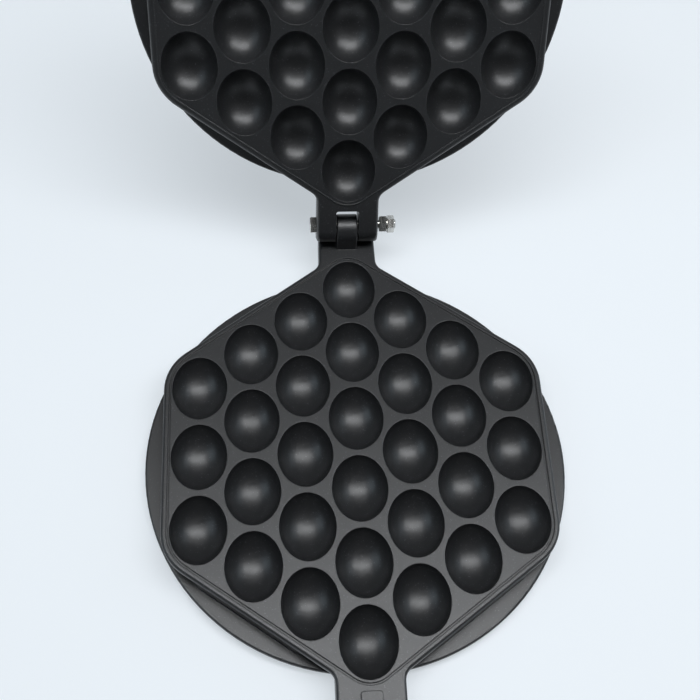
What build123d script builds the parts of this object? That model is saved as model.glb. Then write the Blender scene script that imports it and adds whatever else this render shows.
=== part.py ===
from build123d import *
import math
import os

# Hinged two-sided egg waffle pan: two cast halves with thirty egg-shaped cells each,
# a bolted hinge at the back and a grip on each half at the front.
# Millimetres.  Origin at the centre of the lower half's foot, on the table.
# +Y runs to the hinge, -Y to the grips, +Z up.  Everything is drawn with the pan shut,
# and the upper half's pieces are then swung open about the hinge to where they stand.

# ---- cells -------------------------------------------------------------------------
cell_half_width = 13.7        # half of a cell's mouth across the pan
cell_half_length = 17.1       # half of a cell's mouth along the pan
cell_centre_rise = 1.2        # the egg's axis lies this far outside the casting's face
column_pitch = 26.0
row_pitch = 37.2
cells_in_column = (3, 4, 5, 6, 5, 4, 3)
dome_wall = 2.5               # metal left round a cell, a dome on the back

# ---- casting -----------------------------------------------------------------------
half_depth = 19.0             # face of a half to the foot it stands on
side_margin = 4.3             # face left beside the outer columns
end_margin = 5.0              # face left outside the slanted rows
face_corner_radius = 25.0
rim_thickness = 3.0           # lip of the hexagonal plate
edge_radius = 1.6             # rounding of the plate's, necks' and ears' edges
web_thickness = 5.0           # plate between the cells
body_inset = 0.4              # the wall under the lip stands back this far
body_radius = 100.0           # the wall's corners are turned to this radius
body_wall = 3.5
flange_radius = 105.4
flange_depth = 12.0           # face of the half to the top of the round flange
flange_thickness = 3.0
flange_edge_radius = 1.1
foot_radius = 101.5
groove_inset = 3.2            # overflow groove, in from the plate's edge
groove_width = 1.0
groove_depth = 0.9
groove_corner_radius = 21.0
groove_end_radius = 13.0
bead_width = 0.4              # the upper half's bead closes over the groove
bead_height = 0.45
face_gap = 0.3                # between the two faces when the pan is shut

# ---- hinge -------------------------------------------------------------------------
hinge_reach = 127.75          # middle of the cells to the hinge axis
hinge_rise = 9.4              # lower face to the hinge axis
open_angle = 120.0
neck_width = 31.0             # at the plate
neck_end_width = 29.8         # under the hinge axis, where the lower neck ends
neck_thickness = 12.0
neck_blend_radius = 7.0
lug_width = 10.8
lug_radius = 7.8
lug_lead = 2.0                # lug's round stands this far in front of the bolt
lug_drop = 0.9                # and this far below it
lug_edge_radius = 0.8
ear_span = 32.3               # over both ears, and the upper neck's width
ear_ramp_length = 22.0        # upper neck thickens to the ears over this length
ear_side_gap = 0.65           # each side of the lug
slot_reach = 12.0             # axis to the closed end of the slot
slot_corner_radius = 1.2
heel_thickness = 5.5
heel_reach = 6.0              # heel below the lower face when the pan is open
heel_gap = 0.03               # heel to the end of the neck that stops it
bolt_diameter = 5.0
bolt_fit = 0.08               # radial running fit in the lug
ear_hole_fit = 0.05           # radial fit in the ears
hex_across = 8.0
hex_chamfer = 0.4
thread_fit = 0.02             # thread to hole, where one screws into the other
head_height = 3.5
nut_height = 4.0
nut_standoff = 1.35           # end float that the locked nuts leave
bolt_tip = 0.8                # thread past the outer nut

# ---- front neck and grips ----------------------------------------------------------
front_neck_width = 32.0
front_neck_straight = 126.0   # middle of the cells to where the neck starts to narrow
front_neck_end = 146.0        # middle of the cells to the neck's shoulder
shoulder_width = 27.0
key_width = 9.8               # locating key that finds its pocket in the other half
key_length = 12.0
key_start = 115.2
key_height = 1.6
key_corner_radius = 1.4
key_clearance = 0.35
tang_width = 15.0
tang_thickness = 7.0
tang_length = 52.0
tang_clearance = 0.15
grip_length = 128.0           # what shows behind the ferrule
grip_split_gap = 0.4          # grip's flat side to its half's face
grip_widths = (27.0, 26.0, 30.0, 29.0, 23.0)
grip_depths = (14.5, 15.0, 17.0, 16.0, 13.5)
grip_stations = (0.0, 0.22, 0.66, 0.88, 1.0)
grip_flat_edge_radius = 2.0
grip_belly_share = 0.6        # corner radius of the outer side, of the depth
grip_end_radius = 1.5
ferrule_length = 17.0
ferrule_wall = 1.0
ferrule_fit = 0.1
tie_diameter = 5.0
tie_drop = 6.9                # half's face to the tie screw's axis
tie_fit = 0.25
tie_bite = 18.0               # thread of the tie screw inside the tang
tie_head_diameter = 8.5
tie_head_height = 4.0
tie_socket_across = 4.0
tie_socket_depth = 2.4
tie_recess_depth = 8.0
tie_recess_diameter = 9.8
washer_diameter = 9.4
washer_thickness = 1.0
spring_washer_diameter = 8.6
spring_washer_thickness = 1.3
spring_washer_gap = 1.0
tang_end_gap = 1.0            # grip's slot runs on past the tang
tie_end_gap = 1.5             # tapped hole runs on past the screw

# ---- latch bail --------------------------------------------------------------------
bail_wire = 3.0
bail_setback = 8.5            # grip's end to the bail's pivot
bail_rise = 8.0               # half's face to the bail's pivot
bail_side_gap = 0.9           # arm to the widest part of the grip
bail_pin_depth = 6.0          # wire end inside the grip
bail_end_gap = 0.3            # hole runs on past the wire's end
bail_hole_fit = 0.10
bail_bend_radius = 4.0
bail_under_gap = 0.6          # crossbar to its saddle when latched
bail_saddle_depth = 0.5

# ---- worked-out sizes --------------------------------------------------------------
face_z = half_depth
shut_z = face_z + face_gap                     # upper half's face when shut
axis_z = face_z + hinge_rise
axis_y = hinge_reach
hinge_line = Axis((0, axis_y, axis_z), (1, 0, 0))

columns_each_side = (len(cells_in_column) - 1) // 2
outer_column_x = columns_each_side * column_pitch
longest, shortest = max(cells_in_column), min(cells_in_column)
slant = (longest - shortest) / 2 * row_pitch / outer_column_x
slant_angle = math.degrees(math.atan(slant))
slant_cos = math.cos(math.radians(slant_angle))
cell_reach = math.hypot(slant * cell_half_width, cell_half_length)
tip_to_cells = (longest - 1) / 2 * row_pitch + cell_reach
plate_half_width = outer_column_x + cell_half_width + side_margin
plate_tip = tip_to_cells + end_margin / slant_cos

cell_points = []
for column, count in enumerate(cells_in_column):
    for row in range(count):
        cell_points.append(((column - columns_each_side) * column_pitch,
                            (row - (count - 1) / 2) * row_pitch))

egg_half_width = math.hypot(cell_half_width, cell_centre_rise)
egg_half_length = cell_half_length * egg_half_width / cell_half_width
egg_z = face_z + cell_centre_rise

wall_y = body_radius - body_wall / 2           # the necks are rooted in the wall here
neck_top = face_z - edge_radius                # their bodies start under the rounding
ear_radius = hinge_rise - face_gap
slot_width = lug_width + 2 * ear_side_gap
ferrule_y = front_neck_end + ferrule_length    # where the grip's full section starts
grip_end = ferrule_y + grip_length
tie_z = face_z - tie_drop
grip_flat_z = face_z - grip_split_gap


def hexagon_points(inset):
    """Corners of the plate's hexagon, moved in by inset on every side."""
    half_width = plate_half_width - inset
    tip = plate_tip - inset / slant_cos
    shoulder = tip - slant * half_width
    return [(half_width, shoulder), (0, tip), (-half_width, shoulder),
            (-half_width, -shoulder), (0, -tip), (half_width, -shoulder)]


# ---- egg that cuts one cell, and the shell left round it ---------------------------
def half_ellipse(half_width, half_length):
    """Profile right of the Y axis, for an egg lying along Y."""
    with BuildSketch(Plane.XY) as profile:
        Ellipse(half_width, half_length)
        Rectangle(2 * half_width, 3 * half_length,
                  align=(Align.MAX, Align.CENTER), mode=Mode.SUBTRACT)
    return profile.sketch


with BuildPart() as egg:
    add(half_ellipse(egg_half_width, egg_half_length))
    revolve(axis=Axis.Y, revolution_arc=360)

with BuildPart() as dome:
    add(half_ellipse(egg_half_width + dome_wall, egg_half_length + dome_wall))
    revolve(axis=Axis.Y, revolution_arc=360)

cell_places = [Location((x, y, egg_z)) for x, y in cell_points]
flange_z = face_z - flange_depth - flange_thickness

# ---- hollow under the plate, round the domes ---------------------------------------
with BuildPart() as hollow:
    with BuildSketch(Plane.XY):
        with BuildLine():
            Polyline(*hexagon_points(body_inset + body_wall), close=True)
        make_face()
        Circle(body_radius - body_wall, mode=Mode.INTERSECT)
    extrude(amount=face_z - web_thickness)
    add([dome.part.moved(place) for place in cell_places], mode=Mode.SUBTRACT)



# ---- plate and necks ---------------------------------------------------------------
front_neck_points = [(-front_neck_width / 2, -wall_y),
                     (-front_neck_width / 2, -front_neck_straight),
                     (-shoulder_width / 2, -front_neck_end),
                     (shoulder_width / 2, -front_neck_end),
                     (front_neck_width / 2, -front_neck_straight),
                     (front_neck_width / 2, -wall_y)]
lower_neck_points = [(-neck_width / 2, wall_y), (-neck_end_width / 2, axis_y),
                     (neck_end_width / 2, axis_y), (neck_width / 2, wall_y)]
upper_neck_points = [(-ear_span / 2, wall_y), (-ear_span / 2, axis_y - slot_reach / 2),
                     (ear_span / 2, axis_y - slot_reach / 2), (ear_span / 2, wall_y)]

# domes of the cells at the plate's corners, which swell out of the turned wall
with BuildPart() as corner_domes:
    add([dome.part.moved(Location((x, y, egg_z))) for x, y in cell_points
         if math.hypot(x, y) + cell_half_width > body_radius - body_wall])
    with BuildSketch(Plane.XY):
        Circle(2 * flange_radius)
    extrude(amount=neck_top, mode=Mode.INTERSECT)


def casting(back_neck_points):
    """One half, face up at face_z, its back neck's top layer drawn to the points given."""
    with BuildPart() as half:
        # plate's lip and the necks' tops as one outline
        with BuildSketch(Plane.XY.offset(face_z)):
            with BuildLine():
                Polyline(*hexagon_points(0), close=True)
            make_face()
            side_corners = vertices().group_by(Axis.X)
            fillet(side_corners[0] + side_corners[-1], face_corner_radius)
            for neck_points in (front_neck_points, back_neck_points):
                with BuildLine():
                    Polyline(*neck_points, close=True)
                make_face()
            roots = vertices().filter_by(lambda v: abs(v.X) < column_pitch
                                         and abs(v.Y) < plate_tip)
            fillet(roots, neck_blend_radius)
        extrude(amount=-rim_thickness)
        ends = (-front_neck_end, back_neck_points[1][1])
        rim_edges = edges().group_by(Axis.Z)[-1].filter_by(
            lambda edge: min(abs(edge.center().Y - end) for end in ends) > 0.01)
        fillet(rim_edges, edge_radius)
        # wall under the lip, its corners turned round
        with BuildSketch(Plane.XY.offset(flange_z)):
            with BuildLine():
                Polyline(*hexagon_points(body_inset), close=True)
            make_face()
            Circle(body_radius, mode=Mode.INTERSECT)
        extrude(amount=neck_top - flange_z)
        add(corner_domes.part)
        # round flange and the ring foot under it
        with BuildSketch(Plane.XY.offset(flange_z)):
            Circle(flange_radius)
        extrude(amount=flange_thickness)
        with BuildSketch(Plane.XY):
            Circle(foot_radius)
        extrude(amount=flange_z)
        flange_edges = edges().filter_by(GeomType.CIRCLE).filter_by(
            lambda edge: abs(edge.radius - flange_radius) < 0.01)
        fillet(flange_edges, flange_edge_radius)
        # front neck's body, narrowing to the shoulder that the ferrule seats on
        with BuildSketch(Plane.XY.offset(neck_top)):
            with BuildLine():
                Polyline(*front_neck_points, close=True)
            make_face()
        extrude(amount=edge_radius - neck_thickness)
        # tang inside the grip, tapped for the tie screw
        with BuildSketch(Plane.XZ.offset(front_neck_end)):
            with Locations((0, tie_z)):
                Rectangle(tang_width, tang_thickness)
        extrude(amount=tang_length)
        with BuildSketch(Plane.XZ.offset(front_neck_end + tang_length)):
            with Locations((0, tie_z)):
                Circle(tie_diameter / 2)
        extrude(amount=-tie_bite, mode=Mode.SUBTRACT)
        # hollow round the domes
        add(hollow.part, mode=Mode.SUBTRACT)
    return half.part


eggs = [egg.part.moved(place) for place in cell_places]


def face_ring(width, height):
    """Ring of the given width along the groove's line, rising height above the face."""
    with BuildPart() as ring:
        with BuildSketch(Plane.XY.offset(face_z)):
            for side, mode in ((-1, Mode.ADD), (1, Mode.SUBTRACT)):
                grow = -side * width / 2
                with BuildSketch(mode=mode):
                    with BuildLine():
                        Polyline(*hexagon_points(groove_inset + side * width / 2), close=True)
                    make_face()
                    ends = vertices().filter_by(lambda v: abs(v.X) < 0.01)
                    fillet(ends, groove_end_radius + grow)
                    fillet(vertices().filter_by(lambda v: abs(v.Y) < plate_tip / 2
                                                and abs(v.X) > outer_column_x),
                           groove_corner_radius + grow)
        extrude(amount=height)
    return ring.part


# ---- lower half --------------------------------------------------------------------
lug_y, lug_z = axis_y - lug_lead, axis_z - lug_drop
with BuildPart() as lug:
    with BuildSketch(Plane.YZ):
        with Locations((lug_y, lug_z)):
            Circle(lug_radius)
        with Locations((lug_y - lug_radius, lug_z)):
            Rectangle(lug_radius + lug_lead, lug_z - face_z + rim_thickness,
                      align=(Align.MIN, Align.MAX))
    extrude(amount=lug_width / 2, both=True)
    sides = faces().sort_by(Axis.X)
    fillet(sides[0].edges() + sides[-1].edges(), lug_edge_radius)

with BuildPart() as lower_pan:
    add(casting(lower_neck_points))
    with BuildSketch(Plane.XY.offset(neck_top)):
        with BuildLine():
            Polyline(*lower_neck_points, close=True)
        make_face()
    extrude(amount=edge_radius - neck_thickness)
    # lug that the bolt runs through
    add(lug.part)
    with BuildSketch(Plane.YZ):
        with Locations((axis_y, axis_z)):
            Circle(bolt_diameter / 2 + bolt_fit)
    extrude(amount=lug_width, both=True, mode=Mode.SUBTRACT)
    # cells, and the overflow groove round them
    add(eggs, mode=Mode.SUBTRACT)
    add(face_ring(groove_width, -groove_depth), mode=Mode.SUBTRACT)
    # locating key on the front neck
    with BuildSketch(Plane.XY.offset(face_z)):
        with Locations((0, -key_start - key_length / 2)):
            RectangleRounded(key_width, key_length, key_corner_radius)
    extrude(amount=key_height)

# ---- upper half, drawn shut --------------------------------------------------------
middle_z = face_z + face_gap / 2
middle_plane = Plane.XY.offset(middle_z)
with BuildPart() as upper_half:
    add(casting(upper_neck_points))
    # bead over the groove, and the pocket for the key
    add(face_ring(bead_width, bead_height))
    with BuildSketch(Plane.XY.offset(face_z)):
        with Locations((0, -key_start - key_length / 2)):
            RectangleRounded(key_width + 2 * key_clearance,
                             key_length + 2 * key_clearance,
                             key_corner_radius + key_clearance)
    extrude(amount=-key_height, mode=Mode.SUBTRACT)

with BuildPart() as ears:
    # neck and ears, seen from the side
    with BuildSketch(Plane.YZ):
        with BuildLine():
            Polyline((wall_y, shut_z), (axis_y, shut_z), (axis_y, axis_z),
                     (axis_y + ear_radius * math.cos(math.radians(110)),
                      axis_z + ear_radius * math.sin(math.radians(110))),
                     (axis_y - ear_ramp_length, shut_z + neck_thickness),
                     (wall_y, shut_z + neck_thickness), close=True)
        make_face()
        with Locations((axis_y, axis_z)):
            Circle(ear_radius)
        # heel: swings against the end of the lower neck when the pan is open
        with Locations(Location((axis_y, axis_z), open_angle - 90)):
            with Locations((0, heel_gap)):
                Rectangle(hinge_rise + heel_reach, heel_thickness,
                          align=(Align.MIN, Align.MIN))
    extrude(amount=ear_span / 2, both=True)
    sides = faces().sort_by(Axis.X)
    fillet(sides[0].edges() + sides[-1].edges(), edge_radius)
    # slot for the lug
    with BuildSketch(Plane.XY.offset(shut_z)):
        with Locations((0, axis_y - slot_reach)):
            Rectangle(slot_width, 4 * slot_reach, align=(Align.CENTER, Align.MIN))
        fillet(vertices().group_by(Axis.Y)[0], slot_corner_radius)
    extrude(amount=4 * neck_thickness, both=True, mode=Mode.SUBTRACT)
    with BuildSketch(Plane.YZ):
        with Locations((axis_y, axis_z)):
            Circle(bolt_diameter / 2 + ear_hole_fit)
    extrude(amount=ear_span, both=True, mode=Mode.SUBTRACT)

with BuildPart() as upper_pan:
    add(mirror(upper_half.part, about=middle_plane))
    add(ears.part)
    # slot and cells once more, where the ears run over them
    with BuildSketch(Plane.XY.offset(shut_z)):
        with Locations((0, axis_y - slot_reach)):
            Rectangle(slot_width, slot_reach, align=(Align.CENTER, Align.MIN))
        fillet(vertices().group_by(Axis.Y)[0], slot_corner_radius)
    extrude(amount=rim_thickness, mode=Mode.SUBTRACT)
    add([cell.moved(Location((0, 0, 2 * (middle_z - egg_z)))) for cell in eggs],
        mode=Mode.SUBTRACT)


# ---- hinge bolt and its two nuts, along X ------------------------------------------
head_x = -ear_span / 2
inner_nut_x = ear_span / 2 + nut_standoff
outer_nut_x = inner_nut_x + nut_height
hinge_plane = Plane(origin=(0, axis_y, axis_z), x_dir=(0, 1, 0), z_dir=(1, 0, 0))

with BuildPart() as hinge_bolt:
    with BuildSketch(hinge_plane.offset(head_x)):
        RegularPolygon(hex_across / 2, 6, major_radius=False)
    extrude(amount=-head_height)
    chamfer(faces().sort_by(Axis.X)[0].edges(), hex_chamfer)
    with BuildSketch(hinge_plane.offset(head_x)):
        Circle(bolt_diameter / 2)
    extrude(amount=outer_nut_x + nut_height + bolt_tip - head_x)
    chamfer(faces().sort_by(Axis.X)[-1].edges(), hex_chamfer)


def hex_nut(plane, turn):
    """Hex nut standing on plane, its hole filled by the bolt's thread."""
    with BuildPart() as nut:
        with BuildSketch(plane):
            RegularPolygon(hex_across / 2, 6, major_radius=False, rotation=turn)
            Circle(bolt_diameter / 2 + thread_fit, mode=Mode.SUBTRACT)
        extrude(amount=nut_height)
        outside = edges().filter_by(GeomType.LINE).filter_by(Axis.X, reverse=True)
        chamfer(outside, hex_chamfer)
    return nut.part


hinge_nut_inner = hex_nut(hinge_plane.offset(inner_nut_x), 0)
hinge_nut_outer = hex_nut(hinge_plane.offset(outer_nut_x), 30)


# ---- grip, its ferrule and tie screw, drawn on the lower half ----------------------
def section(width, depth, shrink=0.0):
    """D-shaped section of a grip: flat toward the half's face, round outside."""
    with Locations((0, grip_flat_z - depth / 2)):
        Rectangle(width - 2 * shrink, depth - 2 * shrink)
    flat_side = vertices().group_by(Axis.Y)[-1]
    round_side = vertices().group_by(Axis.Y)[0]
    fillet(flat_side, grip_flat_edge_radius - shrink / 2)
    fillet(round_side, grip_belly_share * depth - shrink)


spigot_shrink = ferrule_wall + ferrule_fit
tang_slot_width = tang_width + 2 * tang_clearance
tang_slot_thickness = tang_thickness + 2 * tang_clearance
recess_y = grip_end - tie_recess_depth          # seat of the tie screw's washers
tang_end_y = front_neck_end + tang_length

with BuildPart() as grip:
    for share, width, depth in zip(grip_stations, grip_widths, grip_depths):
        with BuildSketch(Plane.XZ.offset(ferrule_y + share * grip_length)):
            section(width, depth)
    loft()
    fillet(faces().sort_by(Axis.Y)[0].edges(), grip_end_radius)
    # spigot inside the ferrule
    with BuildSketch(Plane.XZ.offset(front_neck_end + ferrule_wall)):
        section(grip_widths[0], grip_depths[0], spigot_shrink)
    extrude(amount=ferrule_length - ferrule_wall)
    # slot for the tang, hole and recess for the tie screw
    with BuildSketch(Plane.XZ.offset(front_neck_end + ferrule_wall)):
        with Locations((0, tie_z)):
            Rectangle(tang_slot_width, tang_slot_thickness)
    extrude(amount=tang_length - ferrule_wall + tang_end_gap, mode=Mode.SUBTRACT)
    with BuildSketch(Plane.XZ.offset(tang_end_y)):
        with Locations((0, tie_z)):
            Circle(tie_diameter / 2 + tie_fit)
    extrude(amount=grip_end - tang_end_y, mode=Mode.SUBTRACT)
    with BuildSketch(Plane.XZ.offset(recess_y)):
        with Locations((0, tie_z)):
            Circle(tie_recess_diameter / 2)
    extrude(amount=tie_recess_depth, mode=Mode.SUBTRACT)

with BuildPart() as ferrule:
    with BuildSketch(Plane.XZ.offset(front_neck_end)):
        section(grip_widths[0], grip_depths[0])
    extrude(amount=ferrule_length)
    with BuildSketch(Plane.XZ.offset(front_neck_end + ferrule_wall)):
        section(grip_widths[0], grip_depths[0], ferrule_wall)
    extrude(amount=ferrule_length, mode=Mode.SUBTRACT)
    with BuildSketch(Plane.XZ.offset(front_neck_end)):
        with Locations((0, tie_z)):
            Rectangle(tang_slot_width, tang_slot_thickness)
    extrude(amount=ferrule_length, mode=Mode.SUBTRACT)

with BuildPart() as tie_washer:
    with BuildSketch(Plane.XZ.offset(recess_y)):
        with Locations((0, tie_z)):
            Circle(washer_diameter / 2)
            Circle(tie_diameter / 2 + tie_fit, mode=Mode.SUBTRACT)
    extrude(amount=washer_thickness)

# split ring, its gap at the top
spring_y = recess_y + washer_thickness
with BuildPart() as spring_washer:
    with BuildSketch(Plane.XZ.offset(spring_y)):
        with Locations((0, tie_z)):
            Circle(spring_washer_diameter / 2)
            Circle(tie_diameter / 2 + tie_fit, mode=Mode.SUBTRACT)
            Rectangle(spring_washer_gap, spring_washer_diameter,
                      align=(Align.CENTER, Align.MIN), mode=Mode.SUBTRACT)
    extrude(amount=spring_washer_thickness)

head_y = spring_y + spring_washer_thickness
with BuildPart() as tie_screw:
    with BuildSketch(Plane.XZ.offset(head_y)):
        with Locations((0, tie_z)):
            Circle(tie_head_diameter / 2)
    extrude(amount=tie_head_height)
    chamfer(faces().sort_by(Axis.Y)[0].edges(), hex_chamfer)
    with BuildSketch(Plane.XZ.offset(head_y + tie_head_height)):
        with Locations((0, tie_z)):
            RegularPolygon(tie_socket_across / 2, 6, major_radius=False)
    extrude(amount=-tie_socket_depth, mode=Mode.SUBTRACT)
    with BuildSketch(Plane.XZ.offset(head_y)):
        with Locations((0, tie_z)):
            Circle(tie_diameter / 2 - thread_fit)
    extrude(amount=-(head_y - tang_end_y + tie_bite - tie_end_gap))

# ---- latch bail: a wire loop hinged in the upper grip, over the lower grip's end ---
pivot_y = -(grip_end - bail_setback)
pivot_z = shut_z + bail_rise
pivot_share = (grip_length - bail_setback) / grip_length
before, after = len(grip_stations) - 2, len(grip_stations) - 1
blend = ((pivot_share - grip_stations[before])
         / (grip_stations[after] - grip_stations[before]))
pivot_grip_depth = grip_depths[before] + blend * (grip_depths[after] - grip_depths[before])
pivot_grip_width = grip_widths[before] + blend * (grip_widths[after] - grip_widths[before])
saddle_radius = bail_wire / 2 + bail_under_gap
saddle_z = grip_flat_z - pivot_grip_depth - saddle_radius + bail_saddle_depth
bail_reach = pivot_z - saddle_z
bail_arm_x = max(grip_widths) / 2 + bail_side_gap + bail_wire / 2
bail_pin_x = pivot_grip_width / 2 - bail_pin_depth
hang_angle = open_angle - 90                   # points straight down when open

with BuildPart() as lower_grip:
    add(grip.part)
    # saddle that the latched crossbar drops into
    with BuildSketch(Plane.YZ):
        with Locations((pivot_y, saddle_z)):
            Circle(saddle_radius)
    extrude(amount=max(grip_widths), both=True, mode=Mode.SUBTRACT)

with BuildPart() as upper_grip:
    add(mirror(grip.part, about=middle_plane))
    # holes for the bail's ends
    for side in (-1, 1):
        with BuildSketch(Plane.YZ.offset(side * (bail_pin_x - bail_end_gap))):
            with Locations((pivot_y, pivot_z)):
                Circle(bail_wire / 2 + bail_hole_fit)
        extrude(amount=side * max(grip_widths), mode=Mode.SUBTRACT)

with BuildPart() as latch_bail:
    with BuildLine(Plane(origin=(0, pivot_y, pivot_z), x_dir=(1, 0, 0),
                         z_dir=(0, -math.sin(math.radians(hang_angle)),
                                math.cos(math.radians(hang_angle))))) as bail_line:
        FilletPolyline((bail_pin_x, 0), (bail_arm_x, 0), (bail_arm_x, bail_reach),
                       (-bail_arm_x, bail_reach), (-bail_arm_x, 0), (-bail_pin_x, 0),
                       radius=bail_bend_radius)
    with BuildSketch(Plane(origin=bail_line.line @ 0, z_dir=(1, 0, 0))):
        Circle(bail_wire / 2)
    sweep()

# ---- the upper half's pieces, shut, then swung open --------------------------------
shut_pieces = {
    "upper_pan": upper_pan.part,
    "hinge_bolt": hinge_bolt.part,
    "hinge_nut_inner": hinge_nut_inner,
    "hinge_nut_outer": hinge_nut_outer,
    "upper_ferrule": mirror(ferrule.part, about=middle_plane),
    "upper_grip": upper_grip.part,
    "upper_tie_washer": mirror(tie_washer.part, about=middle_plane),
    "upper_spring_washer": mirror(spring_washer.part, about=middle_plane),
    "upper_tie_screw": mirror(tie_screw.part, about=middle_plane),
    "latch_bail": latch_bail.part,
}
pieces = {
    "lower_pan": lower_pan.part,
    "lower_ferrule": ferrule.part,
    "lower_grip": lower_grip.part,
    "lower_tie_washer": tie_washer.part,
    "lower_spring_washer": spring_washer.part,
    "lower_tie_screw": tie_screw.part,
}
for name, piece in shut_pieces.items():
    pieces[name] = piece.rotate(hinge_line, -open_angle)

os.makedirs("parts", exist_ok=True)
for name, piece in pieces.items():
    piece.label = name
    export_step(piece, f"parts/{name}.step")
    print(name, round(piece.volume), piece.is_valid)
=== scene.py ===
import bpy
from mathutils import Matrix, Vector

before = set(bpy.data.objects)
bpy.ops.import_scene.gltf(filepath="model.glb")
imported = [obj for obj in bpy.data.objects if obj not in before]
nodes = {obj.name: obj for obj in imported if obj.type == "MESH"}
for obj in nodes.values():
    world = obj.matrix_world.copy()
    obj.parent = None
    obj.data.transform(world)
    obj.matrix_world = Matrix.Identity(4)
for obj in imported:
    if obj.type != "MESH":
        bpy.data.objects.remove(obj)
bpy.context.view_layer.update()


# ---- shader building ---------------------------------------------------------------
class Value:
    """A node's output that can stand in a sum or a product."""

    def __init__(self, finish, socket):
        self.finish, self.socket = finish, socket

    def _maths(self, operation, other):
        return self.finish.node("ShaderNodeMath", {"operation": operation}, {0: self, 1: other})

    def __add__(self, other):
        return self._maths("ADD", other)

    def __mul__(self, other):
        return self._maths("MULTIPLY", other)

    __radd__ = __add__
    __rmul__ = __mul__


class Finish:
    """One material: its node tree, and the surface shader that the patterns feed."""

    def __init__(self, name, **flat):
        self.material = bpy.data.materials.new(name)
        self.material.use_nodes = True
        self.tree = self.material.node_tree
        self.shader = self.tree.nodes["Principled BSDF"]
        self.feed(**flat)
        self.place = self.node("ShaderNodeTexCoord", out="Object")

    def put(self, socket, value):
        if isinstance(value, Value):
            self.tree.links.new(value.socket, socket)
        elif isinstance(value, tuple) and len(value) == 3 and socket.type == "RGBA":
            socket.default_value = (*value, 1)
        else:
            socket.default_value = value

    def feed(self, **inputs):
        """Give the shader's inputs, written with _ for a space, a number, colour or pattern."""
        for name, value in inputs.items():
            self.put(self.shader.inputs[name.replace("_", " ")], value)

    def node(self, kind, settings=None, inputs=None, out=0):
        made = self.tree.nodes.new(kind)
        for name, value in (settings or {}).items():
            setattr(made, name, value)
        for key, value in (inputs or {}).items():
            self.put(made.inputs[key], value)
        return Value(self, made.outputs[out])

    def noise(self, scale, detail, place=None):
        """Cloudy pattern from 0 to 1, scale clouds to a metre."""
        return self.node("ShaderNodeTexNoise",
                         inputs={"Vector": place or self.place, "Scale": scale,
                                 "Detail": detail, "Roughness": 0.5})

    def remap(self, value, low, high, to_low=0.0, to_high=1.0):
        return self.node("ShaderNodeMapRange",
                         inputs={"Value": value, "From Min": low, "From Max": high,
                                 "To Min": to_low, "To Max": to_high})

    def mix(self, share, first, second):
        """Colour between first and second."""
        return self.node("ShaderNodeMix", {"data_type": "RGBA"},
                         {"Factor": share, 6: first, 7: second}, out=2)

    def rounded(self, radius):
        """Normal that looks as if the edges were rounded to the radius."""
        return self.node("ShaderNodeBevel", {"samples": 6}, {"Radius": radius})

    def bump(self, height, distance, normal=None):
        """Normal over a pattern of heights, from the bare normal or the one given."""
        inputs = {"Height": height, "Distance": distance, "Strength": 1.0}
        if normal:
            inputs["Normal"] = normal
        return self.node("ShaderNodeBump", inputs=inputs)


# ---- finishes ----------------------------------------------------------------------
def coated_casting():
    """Dark non-stick coating over a blasted aluminium casting: fine grain and faint specks."""
    grain_height, edge_rounding = 0.00004, 0.0006
    speck_colour, speck_strength = (0.10, 0.10, 0.11), 0.5
    coat = Finish("coated casting", Metallic=0.0, IOR=1.6)
    grain = coat.noise(2200, 3)
    cloud = coat.noise(14, 3)
    specks = coat.remap(coat.noise(1300, 1), 0.66, 0.74)
    base = coat.mix(cloud, (0.012, 0.0125, 0.0135), (0.015, 0.0155, 0.0165))
    coat.feed(Base_Color=coat.mix(specks * speck_strength, base, speck_colour),
              Roughness=coat.remap(grain, 0.3, 0.7, 0.31, 0.46),
              Normal=coat.bump(grain, grain_height, normal=coat.rounded(edge_rounding)))
    return coat.material


def bright_steel(name, base, rough):
    """Metal with fine streaks round X and duller clouds."""
    streaks_along, streaks_around, streak_height = 900.0, 40.0, 0.00001
    steel = Finish(name, Metallic=1.0)
    stretched = steel.node("ShaderNodeMapping",
                           inputs={"Vector": steel.place,
                                   "Scale": (streaks_along, streaks_around, streaks_around)})
    streak = steel.noise(1.0, 2, place=stretched)
    cloud = steel.noise(120, 3)
    dull = tuple(0.8 * shade for shade in base)
    steel.feed(Base_Color=steel.mix(steel.remap(cloud, 0.35, 0.65), dull, base),
               Roughness=steel.remap(streak, 0.3, 0.7, rough - 0.06, rough + 0.08),
               Normal=steel.bump(streak, streak_height))
    return steel.material


def black_phenolic():
    """Moulded black plastic: satin, with a slight orange peel and rubbed patches."""
    peel_height = 0.00003
    plastic = Finish("black phenolic", Metallic=0.0, IOR=1.5)
    peel = plastic.noise(900, 2)
    cloud = plastic.noise(35, 3)
    plastic.feed(Base_Color=plastic.mix(cloud, (0.012, 0.012, 0.013), (0.022, 0.022, 0.023)),
                 Roughness=plastic.remap(cloud, 0.3, 0.7, 0.34, 0.46),
                 Normal=plastic.bump(peel, peel_height))
    return plastic.material


def dress(names, material):
    for name in names:
        mesh = nodes[name].data
        mesh.materials.clear()
        mesh.materials.append(material)


dress(["lower_pan", "upper_pan"], coated_casting())
dress(["lower_grip", "upper_grip"], black_phenolic())
dress(["lower_ferrule", "upper_ferrule"], bright_steel("brushed ferrule", (0.6, 0.6, 0.6), 0.28))
dress(["hinge_bolt", "hinge_nut_inner", "hinge_nut_outer", "lower_tie_screw", "upper_tie_screw",
       "lower_tie_washer", "upper_tie_washer", "lower_spring_washer", "upper_spring_washer"],
      bright_steel("zinc plate", (0.7, 0.69, 0.66), 0.25))
dress(["latch_bail"], bright_steel("spring wire", (0.58, 0.58, 0.58), 0.22))


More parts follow.
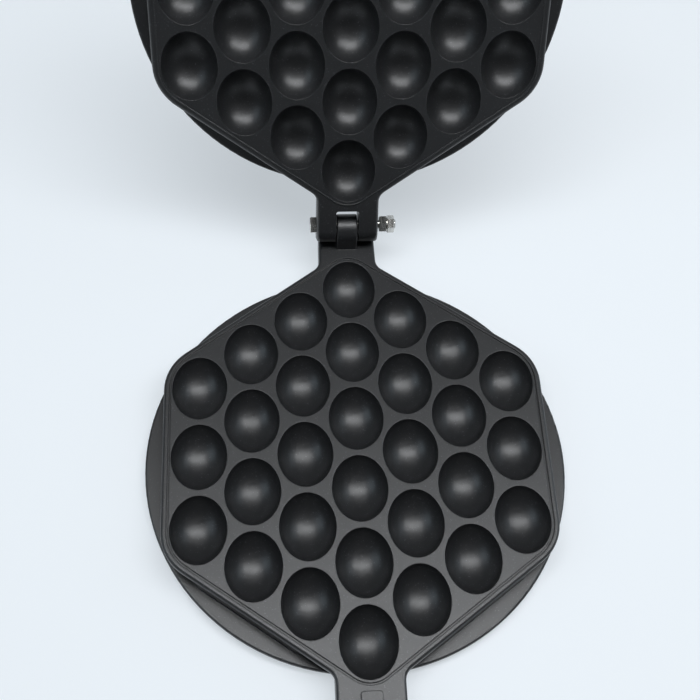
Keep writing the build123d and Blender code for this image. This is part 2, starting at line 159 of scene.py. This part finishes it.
# ---- floor, light and camera -------------------------------------------------------
def pale_floor():
    """Floor that lights the part as it is, and looks like an overexposed sheet in the picture."""
    finish = Finish("pale floor", Roughness=0.85)
    cloud = finish.noise(3, 2)
    paper = finish.mix(cloud, (0.80, 0.84, 0.88), (0.82, 0.86, 0.90))
    dim = finish.mix(cloud, (0.40, 0.42, 0.44), (0.41, 0.43, 0.45))
    glow = finish.mix(cloud, (0.45, 0.48, 0.505), (0.46, 0.49, 0.515))
    seen = (finish.node("ShaderNodeLightPath", out="Is Camera Ray")
            + finish.node("ShaderNodeLightPath", out="Is Glossy Ray")
            + finish.node("ShaderNodeLightPath", out="Is Transmission Ray"))
    finish.feed(Base_Color=finish.mix(seen, paper, dim),
                Emission_Color=finish.mix(seen, (0, 0, 0), glow),
                Emission_Strength=1.0)
    bpy.ops.mesh.primitive_plane_add(size=8, location=(0, 0.5, 0))
    floor = bpy.context.object
    floor.name = "floor"
    floor.data.materials.append(finish.material)


def soft_box(name, direction, distance, width, depth, power, colour):
    """Flat lamp that faces the part, its width level with X."""
    lit_point = Vector((0, 0.05, 0.05))
    lamp = bpy.data.lights.new(name, "AREA")
    lamp.shape = "RECTANGLE"
    lamp.size, lamp.size_y, lamp.energy, lamp.color = width, depth, power, colour
    toward = Vector(direction).normalized()
    across = Vector((0, 1, 0)).cross(toward).normalized()
    turn = Matrix((across, toward.cross(across), toward)).transposed()
    placed = bpy.data.objects.new(name, lamp)
    placed.matrix_world = Matrix.Translation(lit_point + toward * distance) @ turn.to_4x4()
    bpy.context.scene.collection.objects.link(placed)


def surroundings(strength, colour):
    world = bpy.data.worlds.new("soft room")
    bpy.context.scene.world = world
    world.use_nodes = True
    background = world.node_tree.nodes["Background"]
    background.inputs["Color"].default_value = (*colour, 1)
    background.inputs["Strength"].default_value = strength


def camera():
    """Camera at the photograph's place, worked out from the plate's corners and its cells."""
    picture_width, focal_length, sideways = 700, 1145.87, -4  # in pixels
    sensor_width = 36
    place = (-0.04009, -0.21334, 0.54333)
    right, up = (0.9973, -0.0515, 0.0514), (0.0222, 0.8881, 0.4592)
    back = (-0.0693, -0.4568, 0.8869)
    lens = bpy.data.cameras.new("camera")
    lens.sensor_width = sensor_width
    lens.lens = focal_length / picture_width * sensor_width
    lens.shift_x = sideways / picture_width
    lens.clip_start = 0.01
    eye = bpy.data.objects.new("camera", lens)
    eye.matrix_world = Matrix.Translation(place) @ Matrix((right, up, back)).transposed().to_4x4()
    bpy.context.scene.collection.objects.link(eye)
    bpy.context.scene.camera = eye


pale_floor()
soft_box("overhead", (0.12, 0.0, 1.0), 1.1, width=1.6, depth=0.3, power=13.5,
         colour=(0.96, 0.98, 1))
soft_box("room left", (-0.75, -0.1, 0.6), 2.5, width=1.2, depth=1.2, power=8,
         colour=(0.72, 0.88, 1))
soft_box("room right", (0.85, 0.2, 0.5), 2.5, width=1.2, depth=1.2, power=7,
         colour=(0.72, 0.88, 1))
surroundings(0.06, (0.93, 0.96, 1.0))
camera()
bpy.context.scene.view_settings.view_transform = "Standard"
